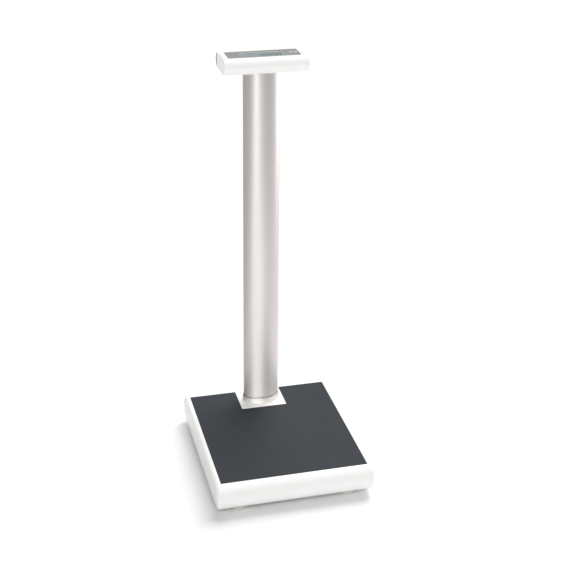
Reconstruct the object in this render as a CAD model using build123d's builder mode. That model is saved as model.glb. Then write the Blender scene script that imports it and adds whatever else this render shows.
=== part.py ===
from build123d import *

import os

# Column scale: a low weighing platform with a mat, an oval column behind it and a display head.
# Millimetres. The origin is on the floor at the centre of the platform, +X to the right as seen
# from the front, +Y to the rear and +Z up.

# ---------------------------------------------------------------- driving dimensions
# Platform body
platform_width = 360.0
deck_flat = 378.0
front_nose = 23.0
rear_nose = 26.0
body_height = 62.0
ground_gap = 13.0
pan_height = 11.0
body_wall = 3.0

# Side trims
trim_width = 12.0
trim_wall = 4.0
trim_edge_radius = 7.0
trim_peg_radius = 3.0
trim_peg_reach = 9.0
trim_peg_pitch = 84.0
trim_peg_count = 4
trim_peg_drop = 25.0
peg_gap = 0.15

# Mat
mat_thickness = 3.0
mat_proud = 0.4
mat_gap = 0.6
mat_border = 2.0
mat_corner_radius = 1.5
notch_width = 111.0
notch_length = 82.0

# Steel deck and frame
deck_thickness = 3.0
deck_inset = 3.0
deck_side_gap = 0.5
deck_flange_height = 32.0
rail_width = 30.0
rail_height = 20.0
rail_wall = 2.0
rail_to_foot = 38.0
rail_length = 336.0
cross_rail_y = -100.0
base_plate_side_gap = 7.0
base_plate_length = 72.0
base_plate_thickness = 8.0
cable_hole_radius = 10.0

# Load cells
cell_width = 20.0
cell_height = 20.0
cell_length = 84.0
cell_lift = 11.0
cell_foot_inset = 12.0
cell_slot_length = 34.0
cell_slot_height = 12.0
cell_screw_inset = 10.0
cell_screw_pitch = 15.0
spacer_length = 30.0
cell_screw_radius = 3.0

# Levelling feet
foot_side_inset = 55.0
foot_inset = 38.0
pad_radius = 18.0
pad_height = 9.0
pad_floor = 3.0
pad_chamfer = 2.0
stud_radius = 4.0
stud_top_gap = 2.0
stud_disc_radius = 7.0
stud_disc_height = 2.4
stud_hex_radius = 7.0
stud_hex_height = 3.0
foot_play = 0.3
nut_radius = 7.5
nut_height = 6.0
thread_gap = 0.08
foot_hole_radius = 9.5

# Column
column_width = 84.0
column_depth = 49.0
column_wall = 2.5
column_length = 844.0
column_gap = 0.8
port_radius = 5.5
port_hole_radius = 3.0
port_spacing = 24.0
collar_height = 15.0
collar_wall = 2.2
collar_gap = 0.2
collar_edge_radius = 1.4

# Screws
screw_gap = 0.3
column_screw_radius = 2.9
column_screw_grip = 16.0
cap_head_radius = 5.0
cap_head_height = 5.0
pan_screw_radius = 2.0
pan_screw_head_radius = 4.0
pan_screw_pitch = 200.0
post_radius = 6.0
small_screw_radius = 1.4
small_screw_grip = 7.0
small_head_radius = 2.7
small_head_height = 1.8

# Boards and cables
board_thickness = 1.6
junction_width = 80.0
junction_length = 50.0
junction_y = 40.0
standoff_height = 8.0
standoff_radius = 3.0
standoff_inset = 5.0
plug_width = 14.0
plug_length = 9.0
plug_height = 8.0
cable_radius = 2.0
cable_bend = 20.0
cell_cable_radius = 1.5
cell_cable_bend = 12.0
cell_cable_pitch = 30.0
cell_cable_x = 25.0

# Display head
head_width = 186.0
head_height = 35.0
head_front = 56.0
rear_cover_depth = 12.0
head_wall = 2.5
head_socket = 12.0
head_pan_height = 13.0
end_cap_width = 5.0
end_cap_rim_depth = 2.5
end_cap_rim_wall = 1.5
end_cap_edge_radius = 2.0
end_cap_gap = 0.2
rear_cover_edge_radius = 1.5
rear_post_setback = 1.0
bracket_width = 140.0
bracket_length = 36.0
bracket_thickness = 4.0
bracket_post_spacing = 120.0
head_post_spacing_x = 159.0
head_post_spacing_y = 40.0
head_post_radius = 3.5
rear_block_spacing = 120.0
rear_block_width = 10.0
rear_block_length = 7.0
rear_block_height = 20.0

# Display and keys
panel_width = 160.0
panel_length = 52.0
panel_thickness = 0.8
panel_corner_radius = 3.0
panel_gap = 0.1
panel_front = 35.0
panel_rear_border = 9.0
window_width = 91.0
window_length = 34.0
window_center_x = -3.5
window_ledge = 1.0
lcd_width = 97.0
lcd_length = 40.0
lcd_height = 6.0
main_board_width = 150.0
main_board_length = 46.0
board_post_spacing_x = 138.0
board_post_spacing_y = 40.0
board_post_radius = 2.5
key_radius = 4.1
key_gap = 0.35
key_pitch = 10.5
key_center_x = 67.0
key_proud = 0.4
key_flange_radius = 4.9
key_flange_height = 1.2
key_dome_radius = 0.4
switch_width = 5.0
switch_gap = 0.8
head_plug_height = 5.0

# ---------------------------------------------------------------- worked-out places
platform_length = front_nose + deck_flat + rear_nose
flat_front = front_nose - platform_length / 2
flat_rear = flat_front + deck_flat
flat_mid = flat_front + deck_flat / 2
body_bottom = ground_gap
body_top = body_bottom + body_height
body_mid = body_bottom + body_height / 2
parting_z = body_bottom + pan_height
cover_width = platform_width - 2 * trim_width
trim_inner_x = cover_width / 2

mat_width = cover_width - 2 * mat_gap
mat_length = deck_flat - 2 * mat_border
mat_rear = flat_rear - mat_border
pocket_depth = mat_thickness - mat_proud
pocket_z = body_top - pocket_depth

deck_top = pocket_z - body_wall
deck_bottom = deck_top - deck_thickness
deck_width = cover_width - 2 * deck_side_gap
deck_length = deck_flat - 2 * deck_inset
peg_z = deck_top - trim_peg_drop
base_plate_bottom = deck_bottom - base_plate_thickness
rail_bottom = deck_bottom - rail_height

foot_spacing = platform_width - 2 * foot_side_inset
rail_spacing = foot_spacing - 2 * rail_to_foot
base_plate_width = rail_spacing - rail_width - 2 * base_plate_side_gap
cell_bottom = body_bottom + cell_lift
cell_top = cell_bottom + cell_height
foot_y = platform_length / 2 - foot_inset
stud_bottom = pad_floor + foot_play
stud_top = cell_top - stud_top_gap
hex_z = pad_height + foot_play
pan_floor = body_bottom + body_wall

column_y = mat_rear - notch_length / 2
column_top = deck_top + column_length
port_spacing_y = column_depth - 2 * (column_wall + port_radius) + 2

head_bottom = column_top - head_socket
head_top = head_bottom + head_height
head_mid = head_bottom + head_height / 2
head_parting = head_bottom + head_pan_height
head_floor = head_bottom + head_wall
head_split = panel_length - panel_front + panel_rear_border
head_rear = head_split + rear_cover_depth
shell_width = head_width - 2 * end_cap_width
bracket_top = column_top + bracket_thickness
panel_y = column_y - panel_front + panel_length / 2
panel_z = head_top - panel_thickness
skin_bottom = head_top - head_wall
lcd_bottom = skin_bottom - lcd_height
board_bottom = lcd_bottom - board_thickness
key_flange_top = skin_bottom - screw_gap
key_bottom = key_flange_top - key_flange_height
switch_top = key_bottom - switch_gap

corners = (
    ("front_left", -1, -1),
    ("front_right", 1, -1),
    ("rear_left", -1, 1),
    ("rear_right", 1, 1),
)
sides = (("left", -1), ("right", 1))

os.makedirs("parts", exist_ok=True)


def body_side_view(inset):
    """Side view of the platform body: flat top and underside between two rounded noses."""
    half_height = body_height / 2 - inset
    with Locations((flat_mid, body_mid)):
        Rectangle(deck_flat, 2 * half_height)
    with Locations((flat_front, body_mid)):
        Ellipse(front_nose - inset, half_height)
    with Locations((flat_rear, body_mid)):
        Ellipse(rear_nose - inset, half_height)


def head_side_view(inset, mode=Mode.ADD):
    """Side view of the display head's shells: round at the front, cut off at the rear cover."""
    nose_radius = head_height / 2
    nose_y = column_y - head_front + nose_radius
    flat_length = column_y + head_split - nose_y
    with Locations((nose_y, head_mid)):
        Circle(nose_radius - inset, mode=mode)
        Rectangle(flat_length, head_height - 2 * inset, align=(Align.MIN, Align.CENTER), mode=mode)


def column_outline(growth, mode=Mode.ADD):
    """Plan of the column's outside, an ellipse grown outwards all round."""
    with Locations((0, column_y)):
        Ellipse(column_width / 2 + growth, column_depth / 2 + growth, mode=mode)


def mat_outline(gap):
    """Plan of the mat, grown by the gap that the cover leaves round it."""
    with Locations((0, mat_rear + gap)):
        Rectangle(mat_width + 2 * gap, mat_length + 2 * gap, align=(Align.CENTER, Align.MAX))
        Rectangle(
            notch_width - 2 * gap,
            notch_length + gap,
            align=(Align.CENTER, Align.MAX),
            mode=Mode.SUBTRACT,
        )


# ---------------------------------------------------------------- platform covers
# Top cover: a formed white shell with the front and rear noses. Its top is sunk for the mat and
# left standing where the column passes through.
with BuildPart() as top_cover:
    with BuildSketch(Plane.YZ):
        body_side_view(0)
    extrude(amount=cover_width / 2, both=True)
    with BuildSketch(Plane.YZ):
        body_side_view(body_wall)
        with Locations((flat_mid, deck_top)):
            Rectangle(platform_length, body_height, align=(Align.CENTER, Align.MIN), mode=Mode.SUBTRACT)
    extrude(amount=cover_width / 2, both=True, mode=Mode.SUBTRACT)
    split(bisect_by=Plane.XY.offset(parting_z), keep=Keep.TOP)
    with BuildSketch(Plane.XY.offset(body_top)):
        mat_outline(mat_gap)
    extrude(amount=-pocket_depth, mode=Mode.SUBTRACT)
    with BuildSketch(Plane.XY.offset(body_top)):
        column_outline(column_gap)
    extrude(amount=-(body_top - deck_top), mode=Mode.SUBTRACT)
top_cover.part.label = "top_cover"
export_step(top_cover.part, "parts/top_cover.step")

# Base pan: the shallow tray that closes the underside, with posts for its screws and round
# openings for the feet.
with BuildPart() as base_pan:
    with BuildSketch(Plane.YZ):
        body_side_view(0)
    extrude(amount=cover_width / 2, both=True)
    with BuildSketch(Plane.YZ):
        body_side_view(body_wall)
    extrude(amount=cover_width / 2, both=True, mode=Mode.SUBTRACT)
    split(bisect_by=Plane.XY.offset(parting_z), keep=Keep.BOTTOM)
    with BuildSketch(Plane.XY.offset(pan_floor)):
        with GridLocations(rail_spacing, pan_screw_pitch, 2, 2):
            Circle(post_radius)
    extrude(amount=rail_bottom - pan_floor)
    with BuildSketch(Plane.XY.offset(body_bottom)):
        with GridLocations(rail_spacing, pan_screw_pitch, 2, 2):
            Circle(pan_screw_radius + screw_gap)
        with GridLocations(foot_spacing, 2 * foot_y, 2, 2):
            Circle(foot_hole_radius)
    extrude(amount=rail_bottom - body_bottom, mode=Mode.SUBTRACT)
    with BuildSketch(Plane.XY.offset(body_bottom)):
        with GridLocations(rail_spacing, pan_screw_pitch, 2, 2):
            Circle(pan_screw_head_radius + screw_gap)
    extrude(amount=body_wall, mode=Mode.SUBTRACT)
base_pan.part.label = "base_pan"
export_step(base_pan.part, "parts/base_pan.step")

# Side trims: hollow moulded caps over the two open ends of the covers, with a rounded outer edge
# and a row of pegs that push into the steel deck's flanges.
for name, side in sides:
    outward = Axis((0, 0, 0), (side, 0, 0))
    with BuildPart() as side_trim:
        with BuildSketch(Plane.YZ.offset(side * trim_inner_x)):
            body_side_view(0)
        extrude(amount=side * trim_width)
        fillet(side_trim.faces().sort_by(outward)[-1].edges(), trim_edge_radius)
        with BuildSketch(Plane.YZ.offset(side * trim_inner_x)):
            body_side_view(trim_wall)
        extrude(amount=side * (trim_width - trim_wall), mode=Mode.SUBTRACT)
        with BuildSketch(Plane.YZ.offset(side * (platform_width / 2 - trim_wall))):
            with Locations((flat_mid, peg_z)):
                with GridLocations(trim_peg_pitch, 1, trim_peg_count, 1):
                    Circle(trim_peg_radius)
        extrude(amount=-side * (trim_width - trim_wall + trim_peg_reach))
    side_trim.part.label = f"side_trim_{name}"
    export_step(side_trim.part, f"parts/side_trim_{name}.step")

# Mat: a flat rubber sheet, notched round the column's foot.
with BuildPart() as mat:
    with BuildSketch(Plane.XY.offset(pocket_z)):
        mat_outline(0)
    extrude(amount=mat_thickness)
    corner_edges = mat.edges().filter_by(Axis.Z).group_by(Axis.Y)
    fillet(corner_edges[0] + corner_edges[-1], mat_corner_radius)
mat.part.label = "mat"
export_step(mat.part, "parts/mat.step")

# ---------------------------------------------------------------- steel deck and frame
# Deck plate: bent sheet under the cover, with two side flanges that take the trims' pegs. It is
# drilled for the load cells' screws, the column's screws and the cable.
cell_inner_y = foot_y + cell_foot_inset - cell_length
cell_screw_y = cell_inner_y + cell_screw_inset
cell_slot_y = (cell_inner_y + spacer_length + foot_y - stud_radius) / 2
flange_x = deck_width / 2 - deck_thickness

with BuildPart() as deck_plate:
    with BuildSketch(Plane.XY.offset(deck_top)):
        with Locations((0, flat_mid)):
            Rectangle(deck_width, deck_length)
    extrude(amount=-deck_thickness)
    with BuildSketch(Plane.XY.offset(deck_top)):
        with Locations((-deck_width / 2, flat_mid)):
            Rectangle(deck_thickness, deck_length, align=(Align.MIN, Align.CENTER))
        with Locations((deck_width / 2, flat_mid)):
            Rectangle(deck_thickness, deck_length, align=(Align.MAX, Align.CENTER))
    extrude(amount=-deck_flange_height)
    with BuildSketch(Plane.YZ):
        with Locations((flat_mid, peg_z)):
            with GridLocations(trim_peg_pitch, 1, trim_peg_count, 1):
                Circle(trim_peg_radius + peg_gap)
    extrude(amount=platform_width / 2, both=True, mode=Mode.SUBTRACT)
    with BuildSketch(Plane.XY.offset(deck_top)):
        with Locations((0, column_y)):
            Circle(cable_hole_radius)
            with GridLocations(port_spacing, port_spacing_y, 2, 2):
                Circle(column_screw_radius + screw_gap)
        for screw_y in (cell_screw_y, cell_screw_y + cell_screw_pitch):
            with GridLocations(foot_spacing, 2 * screw_y, 2, 2):
                Circle(cell_screw_radius + screw_gap)
    extrude(amount=-deck_thickness, mode=Mode.SUBTRACT)
deck_plate.part.label = "deck_plate"
export_step(deck_plate.part, "parts/deck_plate.step")

# Two rectangular steel rails run front to back under the deck, drilled for the pan's screws.
for name, side in sides:
    rail_x = side * rail_spacing / 2
    with BuildPart() as frame_rail:
        with BuildSketch(Plane.XZ.offset(rail_length / 2)):
            with Locations((rail_x, deck_bottom - rail_height / 2)):
                Rectangle(rail_width, rail_height)
                Rectangle(rail_width - 2 * rail_wall, rail_height - 2 * rail_wall, mode=Mode.SUBTRACT)
        extrude(amount=-rail_length)
        with BuildSketch(Plane.XY.offset(rail_bottom)):
            with Locations((rail_x, 0)):
                with GridLocations(1, pan_screw_pitch, 1, 2):
                    Circle(pan_screw_radius + screw_gap)
        extrude(amount=rail_wall, mode=Mode.SUBTRACT)
    frame_rail.part.label = f"frame_rail_{name}"
    export_step(frame_rail.part, f"parts/frame_rail_{name}.step")

# A cross rail of the same tube is welded between them.
with BuildPart() as cross_rail:
    cross_length = rail_spacing - rail_width
    with BuildSketch(Plane.YZ.offset(-cross_length / 2)):
        with Locations((cross_rail_y, deck_bottom - rail_height / 2)):
            Rectangle(rail_width, rail_height)
            Rectangle(rail_width - 2 * rail_wall, rail_height - 2 * rail_wall, mode=Mode.SUBTRACT)
    extrude(amount=cross_length)
cross_rail.part.label = "cross_rail"
export_step(cross_rail.part, "parts/cross_rail.step")

# Column base plate: the thick plate under the deck that the column's four screws pull against.
with BuildPart() as column_base_plate:
    with BuildSketch(Plane.XY.offset(deck_bottom)):
        with Locations((0, column_y)):
            Rectangle(base_plate_width, base_plate_length)
            Circle(cable_hole_radius, mode=Mode.SUBTRACT)
            with GridLocations(port_spacing, port_spacing_y, 2, 2):
                Circle(column_screw_radius + screw_gap, mode=Mode.SUBTRACT)
    extrude(amount=-base_plate_thickness)
column_base_plate.part.label = "column_base_plate"
export_step(column_base_plate.part, "parts/column_base_plate.step")

# ---------------------------------------------------------------- load cells and feet
for name, side, end in corners:
    foot_x = side * foot_spacing / 2
    corner_y = end * foot_y
    screw_row_y = end * (cell_screw_y + cell_screw_pitch / 2)

    # Load cell: an aluminium bending beam with a slotted waist. Its outer end is threaded for the
    # foot's stud and its inner end hangs from the deck.
    with BuildPart() as load_cell:
        with BuildSketch(Plane.XY.offset(cell_bottom)):
            with Locations((foot_x, end * (cell_inner_y + cell_length / 2))):
                Rectangle(cell_width, cell_length)
            with Locations((foot_x, corner_y)):
                Circle(stud_radius + thread_gap, mode=Mode.SUBTRACT)
            with Locations((foot_x, screw_row_y)):
                with GridLocations(1, cell_screw_pitch, 1, 2):
                    Circle(cell_screw_radius + screw_gap, mode=Mode.SUBTRACT)
        extrude(amount=cell_height)
        with BuildSketch(Plane.YZ.offset(foot_x - cell_width / 2)):
            with Locations((end * cell_slot_y, cell_bottom + cell_height / 2)):
                SlotOverall(cell_slot_length, cell_slot_height)
        extrude(amount=cell_width, mode=Mode.SUBTRACT)
    load_cell.part.label = f"load_cell_{name}"
    export_step(load_cell.part, f"parts/load_cell_{name}.step")

    # Foot pad: a round moulded foot with a snap-in socket for the stud's disc.
    with BuildPart() as foot_pad:
        with BuildSketch(Plane.XY):
            with Locations((foot_x, corner_y)):
                Circle(pad_radius)
        extrude(amount=pad_height)
        chamfer(foot_pad.faces().sort_by(Axis.Z)[-1].edges(), pad_chamfer)
        with BuildSketch(Plane.XY.offset(pad_floor)):
            with Locations((foot_x, corner_y)):
                Circle(stud_disc_radius + foot_play)
        extrude(amount=stud_disc_height + 2 * foot_play, mode=Mode.SUBTRACT)
        with BuildSketch(Plane.XY.offset(pad_height)):
            with Locations((foot_x, corner_y)):
                Circle(stud_radius + foot_play)
        extrude(amount=pad_floor - pad_height, mode=Mode.SUBTRACT)
    foot_pad.part.label = f"foot_pad_{name}"
    export_step(foot_pad.part, f"parts/foot_pad_{name}.step")

    # Foot stud: a steel screw with a disc that turns in the pad and a thin hexagon for a spanner.
    with BuildPart() as foot_stud:
        with BuildSketch(Plane.XY.offset(stud_bottom)):
            with Locations((foot_x, corner_y)):
                Circle(stud_radius)
        extrude(amount=stud_top - stud_bottom)
        with BuildSketch(Plane.XY.offset(stud_bottom)):
            with Locations((foot_x, corner_y)):
                Circle(stud_disc_radius)
        extrude(amount=stud_disc_height)
        with BuildSketch(Plane.XY.offset(hex_z)):
            with Locations((foot_x, corner_y)):
                RegularPolygon(stud_hex_radius, 6)
        extrude(amount=stud_hex_height)
    foot_stud.part.label = f"foot_stud_{name}"
    export_step(foot_stud.part, f"parts/foot_stud_{name}.step")

# Cell spacers: four steel blocks that carry the deck on the load cells' inner ends.
with BuildPart() as cell_spacers:
    with BuildSketch(Plane.XY.offset(cell_top)):
        with GridLocations(foot_spacing, 2 * (cell_inner_y + spacer_length / 2), 2, 2):
            Rectangle(cell_width, spacer_length)
        for screw_y in (cell_screw_y, cell_screw_y + cell_screw_pitch):
            with GridLocations(foot_spacing, 2 * screw_y, 2, 2):
                Circle(cell_screw_radius + screw_gap, mode=Mode.SUBTRACT)
    extrude(amount=deck_bottom - cell_top)
cell_spacers.part.label = "cell_spacers"
export_step(cell_spacers.part, "parts/cell_spacers.step")

# Cell screws: eight cap screws from below, through cell and spacer into the deck.
with BuildPart() as cell_screws:
    for screw_y in (cell_screw_y, cell_screw_y + cell_screw_pitch):
        with BuildSketch(Plane.XY.offset(cell_bottom)):
            with GridLocations(foot_spacing, 2 * screw_y, 2, 2):
                Circle(cell_screw_radius)
        extrude(amount=deck_top - cell_bottom)
        with BuildSketch(Plane.XY.offset(cell_bottom)):
            with GridLocations(foot_spacing, 2 * screw_y, 2, 2):
                Circle(cap_head_radius)
        extrude(amount=-cap_head_height)
cell_screws.part.label = "cell_screws"
export_step(cell_screws.part, "parts/cell_screws.step")

# Lock nuts: one on each stud, tight against the underside of its load cell.
with BuildPart() as lock_nuts:
    with BuildSketch(Plane.XY.offset(cell_bottom)):
        with GridLocations(foot_spacing, 2 * foot_y, 2, 2):
            RegularPolygon(nut_radius, 6)
            Circle(stud_radius + thread_gap, mode=Mode.SUBTRACT)
    extrude(amount=-nut_height)
lock_nuts.part.label = "lock_nuts"
export_step(lock_nuts.part, "parts/lock_nuts.step")

# Pan screws: four flush screws that hold the base pan up against the rails.
with BuildPart() as pan_screws:
    with BuildSketch(Plane.XY.offset(body_bottom)):
        with GridLocations(rail_spacing, pan_screw_pitch, 2, 2):
            Circle(pan_screw_head_radius)
    extrude(amount=body_wall)
    with BuildSketch(Plane.XY.offset(pan_floor)):
        with GridLocations(rail_spacing, pan_screw_pitch, 2, 2):
            Circle(pan_screw_radius)
    extrude(amount=rail_bottom + 2 * rail_wall - pan_floor)
pan_screws.part.label = "pan_screws"
export_step(pan_screws.part, "parts/pan_screws.step")

# ---------------------------------------------------------------- junction board and cables
# Junction board: joins the four load cells, on standoffs under the deck, with one plug below it.
junction_top = deck_bottom - standoff_height
plug_bottom = junction_top - board_thickness - plug_height
plug_rear = junction_y + junction_length / 2

with BuildPart() as junction_board:
    with BuildSketch(Plane.XY.offset(junction_top)):
        with Locations((0, junction_y)):
            Rectangle(junction_width, junction_length)
    extrude(amount=-board_thickness)
    with BuildSketch(Plane.XY.offset(plug_bottom)):
        with Locations((0, plug_rear)):
            Rectangle(plug_width, plug_length, align=(Align.CENTER, Align.MAX))
    extrude(amount=plug_height)
junction_board.part.label = "junction_board"
export_step(junction_board.part, "parts/junction_board.step")

with BuildPart() as board_standoffs:
    with BuildSketch(Plane.XY.offset(junction_top)):
        with Locations((0, junction_y)):
            with GridLocations(
                junction_width - 2 * standoff_inset, junction_length - 2 * standoff_inset, 2, 2
            ):
                Circle(standoff_radius)
    extrude(amount=standoff_height)
board_standoffs.part.label = "board_standoffs"
export_step(board_standoffs.part, "parts/board_standoffs.step")

# Cell cables: a thin lead from the end of each load cell to the underside of the board.
cell_cable_z = cell_bottom + cell_height / 2
with BuildPart() as cell_cables:
    for name, side, end in corners:
        lead_x = side * foot_spacing / 2
        lead_y = junction_y + end * cell_cable_pitch / 2
        lead_start = (lead_x, end * cell_inner_y, cell_cable_z)
        with BuildLine() as lead_path:
            FilletPolyline(
                lead_start,
                (lead_x, lead_y, cell_cable_z),
                (side * cell_cable_x, lead_y, cell_cable_z),
                (side * cell_cable_x, lead_y, junction_top - board_thickness),
                radius=cell_cable_bend,
            )
        with BuildSketch(Plane(origin=lead_start, z_dir=(0, -end, 0))):
            Circle(cell_cable_radius)
        sweep(path=lead_path.line)
cell_cables.part.label = "cell_cables"
export_step(cell_cables.part, "parts/cell_cables.step")

# Signal cable: from the board's plug, under the base plate, and straight up the column to the
# main board's plug.
signal_z = plug_bottom + plug_height / 2
signal_start = (0, plug_rear, signal_z)
with BuildPart() as signal_cable:
    with BuildLine() as signal_path:
        FilletPolyline(
            signal_start,
            (0, column_y, signal_z),
            (0, column_y, board_bottom - head_plug_height),
            radius=cable_bend,
        )
    with BuildSketch(Plane(origin=signal_start, z_dir=(0, 1, 0))):
        Circle(cable_radius)
    sweep(path=signal_path.line)
signal_cable.part.label = "signal_cable"
export_step(signal_cable.part, "parts/signal_cable.step")

# ---------------------------------------------------------------- column
# Column: an extruded oval aluminium tube with four screw ports, standing on the deck plate.
with BuildPart() as column:
    with BuildSketch(Plane.XY.offset(deck_top)):
        column_outline(0)
        column_outline(-column_wall, mode=Mode.SUBTRACT)
        with Locations((0, column_y)):
            with GridLocations(port_spacing, port_spacing_y, 2, 2):
                Circle(port_radius)
                Circle(port_hole_radius, mode=Mode.SUBTRACT)
    extrude(amount=column_length)
column.part.label = "column"
export_step(column.part, "parts/column.step")

# Base collar: a low moulded ring that hides the gap where the column enters the cover.
with BuildPart() as base_collar:
    with BuildSketch(Plane.XY.offset(body_top)):
        column_outline(collar_wall)
    extrude(amount=collar_height)
    fillet(base_collar.faces().sort_by(Axis.Z)[-1].edges(), collar_edge_radius)
    with BuildSketch(Plane.XY.offset(body_top)):
        column_outline(collar_gap)
    extrude(amount=collar_height, mode=Mode.SUBTRACT)
base_collar.part.label = "base_collar"
export_step(base_collar.part, "parts/base_collar.step")

# Column screws: four long cap screws from under the base plate, up into the column's ports.
with BuildPart() as column_screws:
    with BuildSketch(Plane.XY.offset(base_plate_bottom)):
        with Locations((0, column_y)):
            with GridLocations(port_spacing, port_spacing_y, 2, 2):
                Circle(column_screw_radius)
    extrude(amount=deck_top + column_screw_grip - base_plate_bottom)
    with BuildSketch(Plane.XY.offset(base_plate_bottom)):
        with Locations((0, column_y)):
            with GridLocations(port_spacing, port_spacing_y, 2, 2):
                Circle(cap_head_radius)
    extrude(amount=-cap_head_height)
column_screws.part.label = "column_screws"
export_step(column_screws.part, "parts/column_screws.step")

# Head bracket: a plate screwed across the top of the column, which the head is fixed to.
with BuildPart() as head_bracket:
    with BuildSketch(Plane.XY.offset(column_top)):
        with Locations((0, column_y)):
            RectangleRounded(bracket_width, bracket_length, post_radius)
            Circle(cable_hole_radius, mode=Mode.SUBTRACT)
            with GridLocations(port_spacing, port_spacing_y, 2, 2):
                Circle(column_screw_radius + screw_gap, mode=Mode.SUBTRACT)
            with GridLocations(bracket_post_spacing, 1, 2, 1):
                Circle(small_screw_radius + screw_gap, mode=Mode.SUBTRACT)
    extrude(amount=bracket_thickness)
head_bracket.part.label = "head_bracket"
export_step(head_bracket.part, "parts/head_bracket.step")

with BuildPart() as bracket_screws:
    with BuildSketch(Plane.XY.offset(bracket_top)):
        with Locations((0, column_y)):
            with GridLocations(port_spacing, port_spacing_y, 2, 2):
                Circle(column_screw_radius)
    extrude(amount=-(bracket_thickness + column_screw_grip))
    with BuildSketch(Plane.XY.offset(bracket_top)):
        with Locations((0, column_y)):
            with GridLocations(port_spacing, port_spacing_y, 2, 2):
                Circle(cap_head_radius)
    extrude(amount=small_head_height)
bracket_screws.part.label = "bracket_screws"
export_step(bracket_screws.part, "parts/bracket_screws.step")

# ---------------------------------------------------------------- display head
# Lower shell: the tray of the head. It slips over the column's top and is screwed to the bracket
# by two posts; four more posts take the upper shell's screws, two blocks the rear cover's.
with BuildPart() as head_lower_shell:
    with BuildSketch(Plane.YZ):
        head_side_view(0)
    extrude(amount=shell_width / 2, both=True)
    with BuildSketch(Plane.YZ):
        head_side_view(head_wall)
    extrude(amount=shell_width / 2, both=True, mode=Mode.SUBTRACT)
    split(bisect_by=Plane.XY.offset(head_parting), keep=Keep.BOTTOM)
    with BuildSketch(Plane.XY.offset(head_floor)):
        with Locations((0, column_y)):
            with GridLocations(bracket_post_spacing, 1, 2, 1):
                Circle(post_radius)
    extrude(amount=column_top - head_floor)
    with BuildSketch(Plane.XY.offset(head_floor)):
        with Locations((0, panel_y)):
            with GridLocations(head_post_spacing_x, head_post_spacing_y, 2, 2):
                Circle(head_post_radius)
    extrude(amount=head_parting - head_floor)
    with BuildSketch(Plane.XY.offset(head_floor)):
        with Locations((0, column_y + head_split)):
            with GridLocations(rear_block_spacing, 1, 2, 1):
                Rectangle(rear_block_width, rear_block_length, align=(Align.CENTER, Align.MAX))
    extrude(amount=rear_block_height)
    with BuildSketch(Plane.XY.offset(head_bottom)):
        column_outline(column_gap)
    extrude(amount=head_wall, mode=Mode.SUBTRACT)
    with BuildSketch(Plane.XY.offset(head_bottom)):
        with Locations((0, panel_y)):
            with GridLocations(head_post_spacing_x, head_post_spacing_y, 2, 2):
                Circle(small_screw_radius + screw_gap)
    extrude(amount=head_pan_height, mode=Mode.SUBTRACT)
    with BuildSketch(Plane.XY.offset(column_top)):
        with Locations((0, column_y)):
            with GridLocations(bracket_post_spacing, 1, 2, 1):
                Circle(small_screw_radius + thread_gap)
    extrude(amount=head_floor - column_top, mode=Mode.SUBTRACT)
    with BuildSketch(Plane.XY.offset(head_bottom)):
        with Locations((0, panel_y)):
            with GridLocations(head_post_spacing_x, head_post_spacing_y, 2, 2):
                Circle(small_head_radius + screw_gap)
    extrude(amount=small_head_height, mode=Mode.SUBTRACT)
    with BuildSketch(Plane.XZ.offset(-(column_y + head_split))):
        with Locations((0, head_mid)):
            with GridLocations(rear_block_spacing, 1, 2, 1):
                Circle(small_screw_radius + thread_gap)
    extrude(amount=rear_block_length, mode=Mode.SUBTRACT)
head_lower_shell.part.label = "head_lower_shell"
export_step(head_lower_shell.part, "parts/head_lower_shell.step")

# Upper shell: the top and front of the head. Its top is sunk for the panel and cut out for the
# display and the keys, and posts hang from it for the screws and the main board.
with BuildPart() as head_upper_shell:
    with BuildSketch(Plane.YZ):
        head_side_view(0)
    extrude(amount=shell_width / 2, both=True)
    with BuildSketch(Plane.YZ):
        head_side_view(head_wall)
    extrude(amount=shell_width / 2, both=True, mode=Mode.SUBTRACT)
    split(bisect_by=Plane.XY.offset(head_parting), keep=Keep.TOP)
    with BuildSketch(Plane.XY.offset(skin_bottom)):
        with Locations((0, panel_y)):
            with GridLocations(head_post_spacing_x, head_post_spacing_y, 2, 2):
                Circle(head_post_radius)
    extrude(amount=head_parting - skin_bottom)
    with BuildSketch(Plane.XY.offset(skin_bottom)):
        with Locations((0, panel_y)):
            with GridLocations(board_post_spacing_x, board_post_spacing_y, 2, 2):
                Circle(board_post_radius)
    extrude(amount=lcd_bottom - skin_bottom)
    with BuildSketch(Plane.XY.offset(head_parting)):
        with Locations((0, panel_y)):
            with GridLocations(head_post_spacing_x, head_post_spacing_y, 2, 2):
                Circle(small_screw_radius + thread_gap)
    extrude(amount=small_screw_grip + screw_gap, mode=Mode.SUBTRACT)
    with BuildSketch(Plane.XY.offset(lcd_bottom)):
        with Locations((0, panel_y)):
            with GridLocations(board_post_spacing_x, board_post_spacing_y, 2, 2):
                Circle(small_screw_radius + thread_gap)
    extrude(amount=lcd_height, mode=Mode.SUBTRACT)
    with BuildSketch(Plane.XY.offset(head_top)):
        with Locations((0, panel_y)):
            RectangleRounded(
                panel_width + 2 * panel_gap, panel_length + 2 * panel_gap, panel_corner_radius
            )
    extrude(amount=-panel_thickness, mode=Mode.SUBTRACT)
    with BuildSketch(Plane.XY.offset(head_top)):
        with Locations((window_center_x, panel_y)):
            Rectangle(window_width - 2 * window_ledge, window_length - 2 * window_ledge)
        with Locations((key_center_x, panel_y)):
            with GridLocations(key_pitch, 1, 2, 1):
                Circle(key_radius + key_gap)
    extrude(amount=-head_wall, mode=Mode.SUBTRACT)
head_upper_shell.part.label = "head_upper_shell"
export_step(head_upper_shell.part, "parts/head_upper_shell.step")

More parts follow.
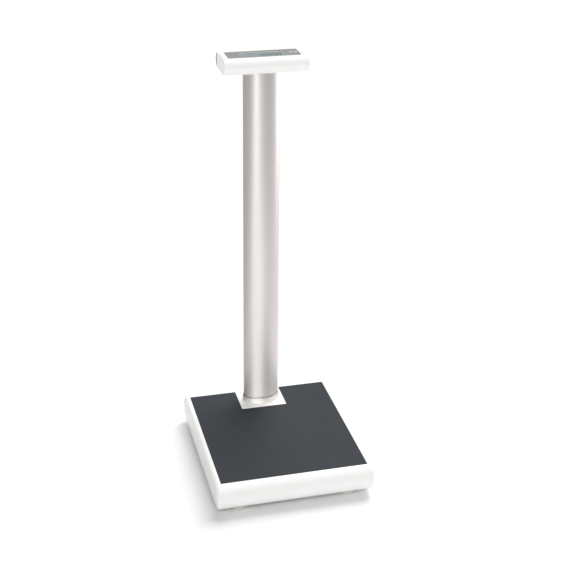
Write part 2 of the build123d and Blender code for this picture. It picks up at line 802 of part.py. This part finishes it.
# End caps: white plates that close the shells' ends, with a rim that plugs into them.
for name, side in sides:
    outward = Axis((0, 0, 0), (side, 0, 0))
    with BuildPart() as end_cap:
        with BuildSketch(Plane.YZ.offset(side * shell_width / 2)):
            head_side_view(0)
        extrude(amount=side * end_cap_width)
        outer_edges = end_cap.faces().sort_by(outward)[-1].edges().sort_by(Axis.Y)
        fillet(outer_edges[:-1], end_cap_edge_radius)
        with BuildSketch(Plane.YZ.offset(side * shell_width / 2)):
            head_side_view(head_wall + end_cap_gap)
            head_side_view(head_wall + end_cap_gap + end_cap_rim_wall, mode=Mode.SUBTRACT)
        extrude(amount=-side * end_cap_rim_depth)
    end_cap.part.label = f"head_end_cap_{name}"
    export_step(end_cap.part, f"parts/head_end_cap_{name}.step")

# Rear cover: a dark cover over the whole back of the head, domed between top and bottom and held
# by two screws.
rear_face_y = column_y + head_rear
split_plane = Plane.XZ.offset(-(column_y + head_split))
cover_low_edge = (column_y + head_split, head_bottom)
cover_high_edge = (column_y + head_split, head_top)
with BuildPart() as head_rear_cover:
    with BuildSketch(Plane.YZ):
        with BuildLine():
            ThreePointArc(cover_low_edge, (rear_face_y, head_mid), cover_high_edge)
            Line(cover_high_edge, cover_low_edge)
        make_face()
    extrude(amount=head_width / 2, both=True)
    dome = head_rear_cover.faces().filter_by(GeomType.CYLINDER)[0]
    fillet(dome.edges().filter_by(GeomType.CIRCLE), rear_cover_edge_radius)
    offset(amount=-head_wall, openings=head_rear_cover.faces().sort_by(Axis.Y)[0])
    with BuildSketch(split_plane):
        with Locations((0, head_mid)):
            with GridLocations(rear_block_spacing, 1, 2, 1):
                Circle(head_post_radius)
    extrude(amount=rear_post_setback - rear_cover_depth)
    with BuildSketch(split_plane):
        with Locations((0, head_mid)):
            with GridLocations(rear_block_spacing, 1, 2, 1):
                Circle(small_screw_radius + screw_gap)
    extrude(amount=head_split - head_rear, mode=Mode.SUBTRACT)
    with BuildSketch(Plane.XZ.offset(-rear_face_y)):
        with Locations((0, head_mid)):
            with GridLocations(rear_block_spacing, 1, 2, 1):
                Circle(small_head_radius + screw_gap)
    extrude(amount=small_head_height, mode=Mode.SUBTRACT)
head_rear_cover.part.label = "head_rear_cover"
export_step(head_rear_cover.part, "parts/head_rear_cover.step")

# Head screws: four from below for the shells, two from behind for the rear cover and two down
# through the bracket into the lower shell's posts.
with BuildPart() as head_screws:
    with BuildSketch(Plane.XY.offset(head_bottom)):
        with Locations((0, panel_y)):
            with GridLocations(head_post_spacing_x, head_post_spacing_y, 2, 2):
                Circle(small_screw_radius)
    extrude(amount=head_pan_height + small_screw_grip)
    with BuildSketch(Plane.XY.offset(head_bottom)):
        with Locations((0, panel_y)):
            with GridLocations(head_post_spacing_x, head_post_spacing_y, 2, 2):
                Circle(small_head_radius)
    extrude(amount=small_head_height)
    with BuildSketch(Plane.XZ.offset(-rear_face_y)):
        with Locations((0, head_mid)):
            with GridLocations(rear_block_spacing, 1, 2, 1):
                Circle(small_screw_radius)
    extrude(amount=head_rear - head_split + rear_block_length)
    with BuildSketch(Plane.XZ.offset(-rear_face_y)):
        with Locations((0, head_mid)):
            with GridLocations(rear_block_spacing, 1, 2, 1):
                Circle(small_head_radius)
    extrude(amount=small_head_height)
    with BuildSketch(Plane.XY.offset(bracket_top)):
        with Locations((0, column_y)):
            with GridLocations(bracket_post_spacing, 1, 2, 1):
                Circle(small_screw_radius)
    extrude(amount=-(bracket_thickness + small_screw_grip))
    with BuildSketch(Plane.XY.offset(bracket_top)):
        with Locations((0, column_y)):
            with GridLocations(bracket_post_spacing, 1, 2, 1):
                Circle(small_head_radius)
    extrude(amount=small_head_height)
head_screws.part.label = "head_screws"
export_step(head_screws.part, "parts/head_screws.step")

# ---------------------------------------------------------------- display and keys
# Display panel: the thin grey overlay in the top of the head, cut out for the window and keys.
with BuildPart() as display_panel:
    with BuildSketch(Plane.XY.offset(panel_z)):
        with Locations((0, panel_y)):
            RectangleRounded(panel_width, panel_length, panel_corner_radius)
        with Locations((window_center_x, panel_y)):
            Rectangle(window_width + 2 * panel_gap, window_length + 2 * panel_gap, mode=Mode.SUBTRACT)
        with Locations((key_center_x, panel_y)):
            with GridLocations(key_pitch, 1, 2, 1):
                Circle(key_radius + key_gap, mode=Mode.SUBTRACT)
    extrude(amount=panel_thickness)
display_panel.part.label = "display_panel"
export_step(display_panel.part, "parts/display_panel.step")

# Display window: clear acrylic on the shell's ledge, flush with the panel.
with BuildPart() as display_window:
    with BuildSketch(Plane.XY.offset(panel_z)):
        with Locations((window_center_x, panel_y)):
            Rectangle(window_width, window_length)
    extrude(amount=panel_thickness)
display_window.part.label = "display_window"
export_step(display_window.part, "parts/display_window.step")

# LCD module: the glass cell in its frame, between the shell's skin and the main board.
with BuildPart() as lcd_module:
    with BuildSketch(Plane.XY.offset(lcd_bottom)):
        with Locations((window_center_x, panel_y)):
            Rectangle(lcd_width, lcd_length)
    extrude(amount=lcd_height)
lcd_module.part.label = "lcd_module"
export_step(lcd_module.part, "parts/lcd_module.step")

# Main board: drilled for its four screws, with the signal cable's plug below it.
with BuildPart() as main_board:
    with BuildSketch(Plane.XY.offset(board_bottom)):
        with Locations((0, panel_y)):
            Rectangle(main_board_width, main_board_length)
            with GridLocations(board_post_spacing_x, board_post_spacing_y, 2, 2):
                Circle(small_screw_radius + screw_gap, mode=Mode.SUBTRACT)
    extrude(amount=board_thickness)
    with BuildSketch(Plane.XY.offset(board_bottom)):
        with Locations((0, column_y)):
            Rectangle(plug_width, plug_length)
    extrude(amount=-head_plug_height)
main_board.part.label = "main_board"
export_step(main_board.part, "parts/main_board.step")

with BuildPart() as board_screws:
    with BuildSketch(Plane.XY.offset(board_bottom)):
        with Locations((0, panel_y)):
            with GridLocations(board_post_spacing_x, board_post_spacing_y, 2, 2):
                Circle(small_screw_radius)
    extrude(amount=board_thickness + lcd_height - screw_gap)
    with BuildSketch(Plane.XY.offset(board_bottom)):
        with Locations((0, panel_y)):
            with GridLocations(board_post_spacing_x, board_post_spacing_y, 2, 2):
                Circle(small_head_radius)
    extrude(amount=-small_head_height)
board_screws.part.label = "board_screws"
export_step(board_screws.part, "parts/board_screws.step")

# Key switches: two push switches on the main board, one under each key.
with BuildPart() as key_switches:
    with BuildSketch(Plane.XY.offset(lcd_bottom)):
        with Locations((key_center_x, panel_y)):
            with GridLocations(key_pitch, 1, 2, 1):
                Rectangle(switch_width, switch_width)
    extrude(amount=switch_top - lcd_bottom)
key_switches.part.label = "key_switches"
export_step(key_switches.part, "parts/key_switches.step")

# Keys: two round caps that slide in the shell's holes, each kept in by a flange under the skin.
for name, side in sides:
    key_x = key_center_x + side * key_pitch / 2
    with BuildPart() as key:
        with BuildSketch(Plane.XY.offset(key_bottom)):
            with Locations((key_x, panel_y)):
                Circle(key_radius)
        extrude(amount=head_top + key_proud - key_bottom)
        fillet(key.faces().sort_by(Axis.Z)[-1].edges(), key_dome_radius)
        with BuildSketch(Plane.XY.offset(key_bottom)):
            with Locations((key_x, panel_y)):
                Circle(key_flange_radius)
        extrude(amount=key_flange_height)
    key.part.label = f"key_{name}"
    export_step(key.part, f"parts/key_{name}.step")
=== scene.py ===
import math

import bmesh
import bpy
from mathutils import Matrix, Vector


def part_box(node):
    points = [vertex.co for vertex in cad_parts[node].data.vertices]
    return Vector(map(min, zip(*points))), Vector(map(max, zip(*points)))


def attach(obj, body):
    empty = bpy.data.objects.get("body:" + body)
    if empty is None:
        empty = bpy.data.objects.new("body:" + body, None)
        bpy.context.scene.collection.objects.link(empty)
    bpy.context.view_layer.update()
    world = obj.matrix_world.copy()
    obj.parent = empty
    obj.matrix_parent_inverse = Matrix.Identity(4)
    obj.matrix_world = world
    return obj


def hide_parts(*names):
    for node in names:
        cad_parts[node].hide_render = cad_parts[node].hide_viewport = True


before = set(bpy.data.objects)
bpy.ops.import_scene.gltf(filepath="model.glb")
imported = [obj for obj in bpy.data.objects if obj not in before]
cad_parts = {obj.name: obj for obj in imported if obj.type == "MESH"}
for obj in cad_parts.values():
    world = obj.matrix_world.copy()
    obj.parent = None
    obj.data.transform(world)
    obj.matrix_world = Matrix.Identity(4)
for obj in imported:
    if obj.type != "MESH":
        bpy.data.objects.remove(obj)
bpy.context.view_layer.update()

# ------------------------------------------------------------------ levelling feet
# Four round pads moulded in pale polyamide, each turning on the disc of a zinc-plated steel stud.
# The studs screw up into the load cells, where a steel nut locks them.
# One millimetre in the scene's metres.
MM = 0.001


def linear(code):
    """An sRGB hex colour as the linear RGBA that shaders take."""
    channels = [int(code[i:i + 2], 16) / 255 for i in (0, 2, 4)]
    return [c / 12.92 if c <= 0.04045 else ((c + 0.055) / 1.055) ** 2.4 for c in channels] + [1.0]


def add_node(material, kind, settings=(), values=(), links=()):
    """Add a shader node, set its options and socket values, and link its sockets to others."""
    node = material.node_tree.nodes.new(kind)
    for option, value in dict(settings).items():
        setattr(node, option, value)
    for socket, value in dict(values).items():
        node.inputs[socket].default_value = value
    for socket, source in dict(links).items():
        material.node_tree.links.new(source, node.inputs[socket])
    return node


def new_material(name, colour, roughness, metallic=0.0):
    """A material with a plain Principled shader, ready for a pattern to vary its colour and gloss."""
    material = bpy.data.materials.new(name)
    material.use_nodes = True
    shader = material.node_tree.nodes["Principled BSDF"]
    shader.inputs["Base Color"].default_value = linear(colour)
    shader.inputs["Roughness"].default_value = roughness
    shader.inputs["Metallic"].default_value = metallic
    return material, shader


def add_pattern(material, shader, colours, gloss, cloud_size, grain_size, grain_depth, stretch=(1, 1, 1)):
    """Give a finish its cloudy tint and gloss, and a fine grain, all sized in metres.

    stretch divides the pattern's size along each axis, so drawn or brushed lines run along one.
    A Mix node's colour sockets have the same names as its others, so they go by number.
    """
    mix_factor, mix_first, mix_second, mix_result = 0, 6, 7, 2
    place = add_node(material, "ShaderNodeTexCoord").outputs["Object"]
    scaled = add_node(
        material, "ShaderNodeMapping", values={"Scale": stretch}, links={"Vector": place}
    ).outputs["Vector"]
    cloud = add_node(
        material, "ShaderNodeTexNoise",
        values={"Scale": 1 / cloud_size, "Detail": 3.0, "Roughness": 0.5}, links={"Vector": scaled},
    ).outputs["Fac"]
    tint = add_node(
        material, "ShaderNodeMix", settings={"data_type": "RGBA"},
        values={mix_first: linear(colours[0]), mix_second: linear(colours[1])},
        links={mix_factor: cloud},
    )
    shine = add_node(
        material, "ShaderNodeMapRange",
        values={"To Min": gloss[0], "To Max": gloss[1]}, links={"Value": cloud},
    )
    grain = add_node(
        material, "ShaderNodeTexNoise",
        values={"Scale": 1 / grain_size, "Detail": 2.0, "Roughness": 0.6}, links={"Vector": scaled},
    )
    bump = add_node(
        material, "ShaderNodeBump",
        values={"Strength": 0.4, "Distance": grain_depth}, links={"Height": grain.outputs["Fac"]},
    )
    material.node_tree.links.new(tint.outputs[mix_result], shader.inputs["Base Color"])
    material.node_tree.links.new(shine.outputs["Result"], shader.inputs["Roughness"])
    material.node_tree.links.new(bump.outputs["Normal"], shader.inputs["Normal"])


def finish_piece(name, shape, material, body, nodes=(), smooth=40.0):
    """Turn a bmesh into a named piece that rides on its body and stands for its CAD nodes."""
    mesh = bpy.data.meshes.new(name)
    shape.to_mesh(mesh)
    shape.free()
    mesh.materials.append(material)
    mesh.shade_smooth()
    mesh.set_sharp_from_angle(angle=math.radians(smooth))
    piece = bpy.data.objects.new(name, mesh)
    bpy.context.scene.collection.objects.link(piece)
    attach(piece, body)
    if nodes:
        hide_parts(*nodes)
    weighted = piece.modifiers.new("even_shading", "WEIGHTED_NORMAL")
    weighted.keep_sharp = True
    weighted.weight = 80
    return piece


def rounded_copy(node, radius, steps=2, crease=35.0):
    """A copy of a CAD node with its flat faces joined up and its sharp edges rounded."""
    same_place = 0.01 * MM
    same_plane = math.radians(0.4)
    shape = bmesh.new()
    shape.from_mesh(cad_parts[node].data)
    bmesh.ops.remove_doubles(shape, verts=shape.verts, dist=same_place)
    bmesh.ops.dissolve_limit(shape, angle_limit=same_plane, verts=shape.verts, edges=shape.edges)
    sharp = [e for e in shape.edges if e.is_manifold and e.calc_face_angle() > math.radians(crease)]
    bmesh.ops.bevel(
        shape, geom=sharp, offset=radius, offset_type="OFFSET", segments=steps, profile=0.5,
        affect="EDGES", material=-1, clamp_overlap=True,
    )
    return shape


def round_node(node, radius, material, body, steps=2):
    """Show a CAD node as its rounded copy."""
    return finish_piece(node + "_piece", rounded_copy(node, radius, steps), material, body, [node])


# Moulded polyamide: pale, slightly warm and half matt, its grain drawn at 0.8 mm to show.
pad_nylon, pad_shader = new_material("pale_polyamide", "DEDCD6", 0.5)
add_pattern(
    pad_nylon, pad_shader, colours=("D9D7D1", "E2E0DB"), gloss=(0.42, 0.55),
    cloud_size=20 * MM, grain_size=0.8 * MM, grain_depth=0.03 * MM,
)

# Zinc-plated steel: bluish grey, with 4 mm clouds in its gloss and a fine plating grain.
zinc, zinc_shader = new_material("zinc_plated_steel", "B9BDC1", 0.3, metallic=1.0)
add_pattern(
    zinc, zinc_shader, colours=("AEB3B8", "C2C5C8"), gloss=(0.24, 0.42),
    cloud_size=4 * MM, grain_size=0.6 * MM, grain_depth=0.01 * MM,
)

corner_names = ("front_left", "front_right", "rear_left", "rear_right")
for corner in corner_names:
    round_node("foot_pad_" + corner, 0.5 * MM, pad_nylon, "foot_" + corner)
    round_node("foot_stud_" + corner, 0.25 * MM, zinc, "stud_" + corner)
round_node("lock_nuts", 0.4 * MM, zinc, "base")

# ------------------------------------------------------------------ load cells
# One bending beam per foot, milled from aluminium bar with a slot through it, clear anodised.
# Each hangs from a zinc-plated spacer block by two cap screws.
# Milled aluminium: cutter lines 0.5 mm apart across the bar.
milled, milled_shader = new_material("milled_aluminium", "C6C8CB", 0.35, metallic=1.0)
add_pattern(
    milled, milled_shader, colours=("BEC0C4", "CDCFD1"), gloss=(0.28, 0.4),
    cloud_size=20 * MM, grain_size=2.5 * MM, grain_depth=0.02 * MM, stretch=(1, 5, 5),
)
for corner in corner_names:
    round_node("load_cell_" + corner, 0.5 * MM, milled, "base")
round_node("cell_spacers", 0.6 * MM, zinc, "base")
round_node("cell_screws", 0.3 * MM, zinc, "base")

# ------------------------------------------------------------------ steel deck and frame
# A bent 3 mm deck plate carries the load. Two rectangular tubes and a cross tube stiffen it, and
# a thick plate under its rear holds the column; all are galvanised.
# Galvanised sheet: broad 25 mm spangle in tint and gloss, under a fine grain.
galvanised, galvanised_shader = new_material("galvanised_sheet", "A9ADB0", 0.42, metallic=1.0)
add_pattern(
    galvanised, galvanised_shader, colours=("9EA3A7", "B6B9BB"), gloss=(0.34, 0.52),
    cloud_size=25 * MM, grain_size=0.8 * MM, grain_depth=0.02 * MM,
)
round_node("deck_plate", 0.6 * MM, galvanised, "base")
for node in ("frame_rail_left", "frame_rail_right", "cross_rail", "column_base_plate"):
    round_node(node, 0.8 * MM, galvanised, "base")

# ------------------------------------------------------------------ junction board and cables
# The four cells' leads meet on a small green board that hangs under the deck on brass standoffs.
# One cable runs from it up inside the column to the head; the jackets are grey PVC.


def board_pattern(material, shader):
    """Solder mask over copper: straight tracks in rows, lighter than the mask."""
    pattern_size = 40 * MM
    row_pitch = 3 * MM
    row_length = 16 * MM
    track_width = 0.48 * MM
    place = add_node(material, "ShaderNodeTexCoord").outputs["Object"]
    tracks = add_node(
        material, "ShaderNodeTexBrick",
        settings={"offset": 0.35, "squash": 1.0},
        values={
            "Scale": 1 / pattern_size, "Mortar Size": track_width / pattern_size,
            "Mortar Smooth": 0.1, "Brick Width": row_length / pattern_size,
            "Row Height": row_pitch / pattern_size,
            "Color1": linear("1E5A34"), "Color2": linear("1B5330"), "Mortar": linear("3C8453"),
        },
        links={"Vector": place},
    )
    relief = add_node(
        material, "ShaderNodeBump",
        values={"Strength": 0.3, "Distance": 0.03 * MM}, links={"Height": tracks.outputs["Fac"]},
    )
    material.node_tree.links.new(tracks.outputs["Color"], shader.inputs["Base Color"])
    material.node_tree.links.new(relief.outputs["Normal"], shader.inputs["Normal"])


# Green solder mask on glass laminate, half gloss.
laminate, laminate_shader = new_material("green_board_laminate", "1E5A34", 0.3)
board_pattern(laminate, laminate_shader)

# Turned brass: warm yellow with fine turning lines round the axis.
brass, brass_shader = new_material("turned_brass", "C9A35A", 0.3, metallic=1.0)
add_pattern(
    brass, brass_shader, colours=("BE9850", "D2AE68"), gloss=(0.24, 0.36),
    cloud_size=5 * MM, grain_size=1.5 * MM, grain_depth=0.01 * MM, stretch=(1, 1, 6),
)

# Grey PVC jacket: matt, with a slight 2 mm unevenness from extrusion.
jacket, jacket_shader = new_material("grey_pvc_jacket", "3A3B3D", 0.55)
add_pattern(
    jacket, jacket_shader, colours=("353638", "414244"), gloss=(0.48, 0.62),
    cloud_size=30 * MM, grain_size=2 * MM, grain_depth=0.05 * MM,
)

round_node("junction_board", 0.2 * MM, laminate, "base")
round_node("board_standoffs", 0.2 * MM, brass, "base")
for node in ("cell_cables", "signal_cable"):
    round_node(node, 0.1 * MM, jacket, "base")

# ------------------------------------------------------------------ platform covers
# The top cover with its front and rear noses, the base pan and the two side trims are moulded in
# white ABS. Pegs hold the trims, and four screws from below hold the pan.
# Moulded ABS: neutral white and half gloss; its spark grain is drawn at 0.7 mm to show.
white_abs, white_shader = new_material("white_abs", "FBFBF9", 0.34)
white_shader.inputs["IOR"].default_value = 1.54
add_pattern(
    white_abs, white_shader, colours=("F9F9F7", "FDFDFC"), gloss=(0.3, 0.4),
    cloud_size=90 * MM, grain_size=0.7 * MM, grain_depth=0.02 * MM,
)

for node in ("base_pan", "top_cover", "side_trim_left", "side_trim_right"):
    round_node(node, 0.5 * MM, white_abs, "base", steps=3)
round_node("pan_screws", 0.2 * MM, zinc, "base")

# ------------------------------------------------------------------ mat
# A 3 mm sheet of calendered anthracite rubber, cut round the column and laid loose in the
# cover's pocket. Its cut edges are soft and its face has a fine matt grain.
# Calendered rubber: blue-black and matt, grain 1.2 mm.
rubber, rubber_shader = new_material("anthracite_rubber", "2B2F34", 0.75)
add_pattern(
    rubber, rubber_shader, colours=("262B31", "2C3137"), gloss=(0.68, 0.82),
    cloud_size=60 * MM, grain_size=1.2 * MM, grain_depth=0.06 * MM,
)
round_node("mat", 0.6 * MM, rubber, "base", steps=3)

# ------------------------------------------------------------------ column
# An extruded elliptical aluminium tube, satin anodised, standing on the deck and held by four screws
# from below. A low moulded collar hides the gap where it enters the cover.
# Satin anodised extrusion: soft warm grey, with faint drawn lines 1.5 mm apart along its length.
anodised, anodised_shader = new_material("satin_anodised_aluminium", "A29E9C", 0.42, metallic=0.8)
add_pattern(
    anodised, anodised_shader, colours=("9E9A98", "A6A2A0"), gloss=(0.39, 0.45),
    cloud_size=40 * MM, grain_size=1.5 * MM, grain_depth=0.01 * MM, stretch=(1, 1, 0.02),
)
column = round_node("column", 0.4 * MM, anodised, "base")

# The collar is ABS painted silver to match the column, with a satin top coat.
collar_abs, collar_shader = new_material("silver_painted_abs", "A6A3A0", 0.42, 0.7)
add_pattern(
    collar_abs, collar_shader, colours=("A29F9C", "ABA8A5"), gloss=(0.36, 0.45),
    cloud_size=50 * MM, grain_size=0.7 * MM, grain_depth=0.02 * MM,
)
collar = round_node("base_collar", 0.3 * MM, collar_abs, "base")
round_node("column_screws", 0.3 * MM, zinc, "base")

# ------------------------------------------------------------------ head bracket
# A 4 mm aluminium plate with rounded ends, screwed to the column's top; it carries the head.
round_node("head_bracket", 0.4 * MM, milled, "base")
round_node("bracket_screws", 0.3 * MM, zinc, "base")

# ------------------------------------------------------------------ display head
# Two white shells screwed together from below, with a snapped-in white cap on each end. The
# domed ABS cover on the back is held by two screws; its mid grey is painted shade, standing for the shade
# on the head's rounded back.
for node in ("head_lower_shell", "head_upper_shell", "head_end_cap_left", "head_end_cap_right"):
    round_node(node, 0.35 * MM, white_abs, "base", steps=3)

# ABS coloured neutral mid grey as painted shade for the head's shaded back; finely grained and half matt.
painted_shade_abs, painted_shade_shader = new_material("painted_shade_abs", "7C7D7A", 0.5)
add_pattern(
    painted_shade_abs, painted_shade_shader, colours=("767774", "828380"), gloss=(0.44, 0.55),
    cloud_size=40 * MM, grain_size=0.8 * MM, grain_depth=0.03 * MM,
)
# The rear cover's grey is painted shade, not a grey plastic.
round_node("head_rear_cover", 0.4 * MM, painted_shade_abs, "base")
round_node("head_screws", 0.2 * MM, zinc, "base")

# ------------------------------------------------------------------ head electronics
# The main board hangs under the display and carries the two key switches. The display is a
# reflective liquid crystal cell in a thin frame, with dark seven-segment digits.
round_node("main_board", 0.2 * MM, laminate, "base")
round_node("board_screws", 0.2 * MM, zinc, "base")

# Black glass-filled nylon of the switches, matt.
switch_nylon, switch_shader = new_material("black_nylon", "1B1B1C", 0.5)
add_pattern(
    switch_nylon, switch_shader, colours=("18181A", "212122"), gloss=(0.45, 0.6),
    cloud_size=10 * MM, grain_size=0.5 * MM, grain_depth=0.02 * MM,
)
round_node("key_switches", 0.2 * MM, switch_nylon, "base")

# Reflective cell: bluish grey-green and glossy, with a faint 8 mm unevenness of its polariser.
cell_glass, cell_shader = new_material("liquid_crystal_cell", "93A3A6", 0.22)
add_pattern(
    cell_glass, cell_shader, colours=("8E9FA2", "98A8AA"), gloss=(0.18, 0.26),
    cloud_size=8 * MM, grain_size=0.8 * MM, grain_depth=0.002 * MM,
)
lcd_shape = rounded_copy("lcd_module", 0.3 * MM)
lcd_top = max(lcd_shape.faces, key=lambda f: f.calc_center_median().z * f.normal.z)
rim_width, rim_slope, rim_height = 2.2 * MM, 0.2 * MM, 0.3 * MM
bmesh.ops.inset_region(lcd_shape, faces=[lcd_top], thickness=rim_width, depth=0.0)
bmesh.ops.inset_region(lcd_shape, faces=[lcd_top], thickness=rim_slope, depth=-rim_height)
cell_middle = lcd_top.calc_center_median()
finish_piece("lcd_module_piece", lcd_shape, cell_glass, "base", ["lcd_module"])

# Dark liquid crystal segments, almost black and glossy like the cell above them.
segment_ink, ink_shader = new_material("dark_segments", "2A3335", 0.3)
add_pattern(
    segment_ink, ink_shader, colours=("273032", "2D3638"), gloss=(0.25, 0.35),
    cloud_size=4 * MM, grain_size=0.5 * MM, grain_depth=0.002 * MM,
)


def add_bar(shape, center, length, width, upright):
    """Add one flat segment bar, pointed at both ends."""
    half, tip = length / 2, width / 2
    outline = (
        (-half, 0), (-half + tip, -tip), (half - tip, -tip),
        (half, 0), (half - tip, tip), (-half + tip, tip),
    )
    turn = Matrix.Rotation(math.pi / 2 if upright else 0, 3, "Z")
    corners = [shape.verts.new(center + turn @ Vector((x, y, 0))) for x, y in outline]
    shape.faces.new(corners)


# Four zeros with a point before the last. A zero lights its top, upper left and right, lower left
# and right, and bottom bars; each has its way from the digit's middle, and may stand upright.
bar_length, bar_width, bar_height = 7.4 * MM, 2.0 * MM, 0.1 * MM
digit_count, digit_pitch, point_size = 4, 11.4 * MM, 1.8 * MM
bar_gap = 0.1 * MM
first_digit = cell_middle + Vector((5.5 * MM, -1.5 * MM, bar_gap))
zero_bars = (
    (0, bar_length, False),
    (-bar_length / 2, bar_length / 2, True),
    (bar_length / 2, bar_length / 2, True),
    (-bar_length / 2, -bar_length / 2, True),
    (bar_length / 2, -bar_length / 2, True),
    (0, -bar_length, False),
)
digits = bmesh.new()
for place in range(digit_count):
    for right, back, upright in zero_bars:
        center = first_digit + Vector((place * digit_pitch + right, back, 0))
        add_bar(digits, center, bar_length, bar_width, upright)
point = first_digit + Vector(((digit_count - 1.5) * digit_pitch, -bar_length, 0))
add_bar(digits, point, point_size, point_size, False)
raised = bmesh.ops.extrude_face_region(digits, geom=digits.faces[:], use_keep_orig=True)
raised_verts = [v for v in raised["geom"] if isinstance(v, bmesh.types.BMVert)]
bmesh.ops.translate(digits, verts=raised_verts, vec=(0, 0, bar_height))
bmesh.ops.recalc_face_normals(digits, faces=digits.faces)
finish_piece("lcd_digits", digits, segment_ink, "base")

# ------------------------------------------------------------------ display panel
# A printed grey overlay lies flush in the top shell, with a clear acrylic window over the
# display and two round holes for the keys.
# Printed film: neutral grey, half matt, with a fine screen-printed speckle.
film, film_shader = new_material("printed_grey_film", "8E918D", 0.45)
add_pattern(
    film, film_shader, colours=("8A8D89", "929591"), gloss=(0.4, 0.5),
    cloud_size=30 * MM, grain_size=0.6 * MM, grain_depth=0.01 * MM,
)
round_node("display_panel", 0.12 * MM, film, "base")

# Clear acrylic: mostly see-through, glossy and very slightly blue.
acrylic, acrylic_shader = new_material("clear_acrylic", "B9C8CB", 0.08)
add_pattern(
    acrylic, acrylic_shader, colours=("B4C4C8", "BECCCF"), gloss=(0.06, 0.1),
    cloud_size=40 * MM, grain_size=3 * MM, grain_depth=0.002 * MM,
)
acrylic_shader.inputs["Alpha"].default_value = 0.08
acrylic_shader.inputs["IOR"].default_value = 1.49
round_node("display_window", 0.12 * MM, acrylic, "base")

# ------------------------------------------------------------------ keys
# Two round keys moulded in light grey ABS, domed on top, standing just proud of the panel.
# Light grey ABS: satin, grain 0.5 mm.
key_abs, key_shader = new_material("light_grey_abs", "D3D4D1", 0.38)
add_pattern(
    key_abs, key_shader, colours=("CFD0CD", "D8D9D6"), gloss=(0.34, 0.42),
    cloud_size=6 * MM, grain_size=0.5 * MM, grain_depth=0.015 * MM,
)
for side in ("left", "right"):
    round_node("key_" + side, 0.15 * MM, key_abs, "key_" + side)

# ------------------------------------------------------------------ studio
# A wide white floor, a large soft sun from behind on the right, a dim sky, and softboxes that
# draw the bright bands down the column.
floor_shape = bmesh.new()
floor_reach = 60.0
bmesh.ops.create_grid(floor_shape, x_segments=1, y_segments=1, size=floor_reach)
floor_mesh = bpy.data.meshes.new("studio_floor")
floor_shape.to_mesh(floor_mesh)
floor_shape.free()
floor = bpy.data.objects.new("studio_floor", floor_mesh)
bpy.context.scene.collection.objects.link(floor)
# White background paper, matt, with 3 mm fibres.
paper, paper_shader = new_material("white_paper", "F5F5F5", 0.9)
add_pattern(
    paper, paper_shader, colours=("F4F4F4", "F6F6F6"), gloss=(0.86, 0.94),
    cloud_size=500 * MM, grain_size=3 * MM, grain_depth=0.02 * MM,
)
floor_mesh.materials.append(paper)

world = bpy.data.worlds.new("studio_sky")
bpy.context.scene.world = world
world.use_nodes = True
sky = world.node_tree.nodes["Background"]
sky.inputs["Color"].default_value = linear("FFFFFF")
sky.inputs["Strength"].default_value = 0.26
bpy.context.scene.view_settings.view_transform = "Standard"


def studio_light(name, kind, place, target):
    """A light of a kind at a place, turned to face a target."""
    light = bpy.data.lights.new(name, kind)
    lamp = bpy.data.objects.new(name, light)
    lamp.location = place
    lamp.rotation_mode = "QUATERNION"
    lamp.rotation_quaternion = (Vector(target) - Vector(place)).to_track_quat("-Z", "Y")
    bpy.context.scene.collection.objects.link(lamp)
    return light


# Each sun: its place, its power and how wide it looks, in degrees, which softens its shadows.
for name, place, power, spread in (
    ("rear_sun", (2.0, 2.2, 5.0), 2.5, 42.0),
    ("front_fill", (-0.7, -3.0, 2.9), 1.15, 25.0),
):
    sun = studio_light(name, "SUN", place, (0.0, 0.0, 0.0))
    sun.energy = power
    sun.angle = math.radians(spread)

# Softboxes flagged onto the column and its collar alone, which draw the bright bands down them.
# The two low ones stand close, and lift the foot of the column, where the dark mat shows in it.
# Each: its angle round the column from the front, distance, height of its middle, width, height
# and power, in degrees, metres and watts.
lit_by_boxes = bpy.data.collections.new("lit_by_softboxes")
lit_by_boxes.objects.link(column)
lit_by_boxes.objects.link(collar)
column_low, column_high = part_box("column")
column_axis = (column_low + column_high) / 2
for name, azimuth, distance, middle, width, height, power in (
    ("front_strip", -14.0, 2.2, -0.7, 0.25, 2.6, 38.0),
    ("right_box", 94.0, 2.2, -0.5, 2.0, 3.0, 90.0),
    ("left_box", -165.0, 2.2, -0.8, 0.8, 2.6, 14.0),
    ("wide_box", 0.0, 2.2, -1.3, 3.0, 1.7, 10.0),
    ("low_strip", -14.0, 0.48, -0.28, 0.06, 0.4, 1.5),
    ("low_box", 0.0, 0.5, -0.28, 1.0, 0.4, 20.0),
):
    turn = math.radians(azimuth)
    center = Vector((column_axis.x, column_axis.y, middle))
    away = Vector((math.sin(turn), -math.cos(turn), 0.0))
    softbox = studio_light(name, "AREA", center + distance * away, center)
    softbox.shape = "RECTANGLE"
    softbox.size = width
    softbox.size_y = height
    softbox.energy = power
    lamp = bpy.data.objects[name]
    lamp.visible_camera = False
    lamp.light_linking.receiver_collection = lit_by_boxes
    lamp.light_linking.blocker_collection = lit_by_boxes

# The camera looks down on the scale from the front left, with a portrait lens.
camera_data = bpy.data.cameras.new("camera")
camera = bpy.data.objects.new("camera", camera_data)
bpy.context.scene.collection.objects.link(camera)
bpy.context.scene.camera = camera
camera_data.sensor_width = 36.0
camera_data.lens = 75.9
camera_yaw, camera_pitch, camera_roll = 0.2558, 0.4475, 0.0125
camera.location = (-0.5884, -2.3286, 1.6032)
camera.rotation_mode = "QUATERNION"
camera.rotation_quaternion = (
    Matrix.Rotation(-camera_yaw, 3, "Z")
    @ Matrix.Rotation(math.pi / 2 - camera_pitch, 3, "X")
    @ Matrix.Rotation(camera_roll, 3, "Z")
).to_quaternion()
camera_data.clip_start = 0.05
camera_data.clip_end = 200.0
